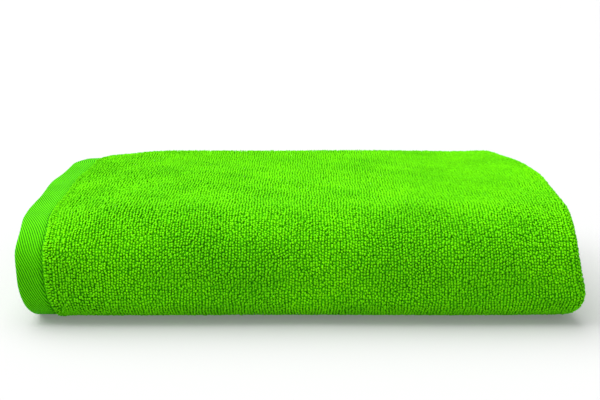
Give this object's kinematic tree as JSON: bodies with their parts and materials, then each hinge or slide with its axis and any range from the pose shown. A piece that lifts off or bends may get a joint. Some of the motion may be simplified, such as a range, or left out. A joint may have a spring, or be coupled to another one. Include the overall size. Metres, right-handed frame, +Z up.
{
  "type": "folded bath towel",
  "caption": "Terry bath towel folded flat into a soft stack, with smooth woven hems at one end and rounded folds at the others; the last fold opens.",
  "frame": {"origin": "centre of the underside of the folded stack's bounding box, on the surface it lies on", "axes": "+X from the hemmed left end to the lengthwise fold at the right end, -Y towards the last fold at the front, +Z up through the stack"},
  "size_m": [0.35, 0.2502, 0.075],
  "materials": {
    "terry": "matte",
    "hem_twill": "matte",
    "thread": "satin"
  },
  "bodies": {
    "lower_half": {"lower_outer_leaf": "terry", "lower_middle_leaf": "terry", "lower_inner_leaf": "terry", "outer_front_fold": "terry", "middle_front_fold": "terry", "inner_front_fold": "terry", "lower_back_fold": "terry", "lower_outer_side_hem": "hem_twill", "lower_middle_side_hem": "hem_twill", "lower_inner_side_hem": "hem_twill", "outer_front_side_hem": "hem_twill", "middle_front_side_hem": "hem_twill", "inner_front_side_hem": "hem_twill", "lower_back_side_hem": "hem_twill", "lower_end_hem": "hem_twill", "lower_stitching": "thread", "front_stitching": "thread", "lower_end_stitching": "thread"},
    "upper_half": {"upper_inner_leaf": "terry", "upper_middle_leaf": "terry", "upper_outer_leaf": "terry", "upper_back_fold": "terry", "upper_inner_side_hem": "hem_twill", "upper_middle_side_hem": "hem_twill", "upper_outer_side_hem": "hem_twill", "upper_back_side_hem": "hem_twill", "upper_end_hem": "hem_twill", "upper_stitching": "thread", "upper_end_stitching": "thread"}
  },
  "joints": [
    {"name": "last_fold", "type": "hinge", "parent": "lower_half", "child": "upper_half", "pos_m": [0, -0.11711, 0.0375], "axis": [1, 0, 0], "range_deg": [0, 180], "deforming": ["outer_front_fold", "middle_front_fold", "inner_front_fold", "outer_front_side_hem", "middle_front_side_hem", "inner_front_side_hem", "front_stitching"]}
  ]
}
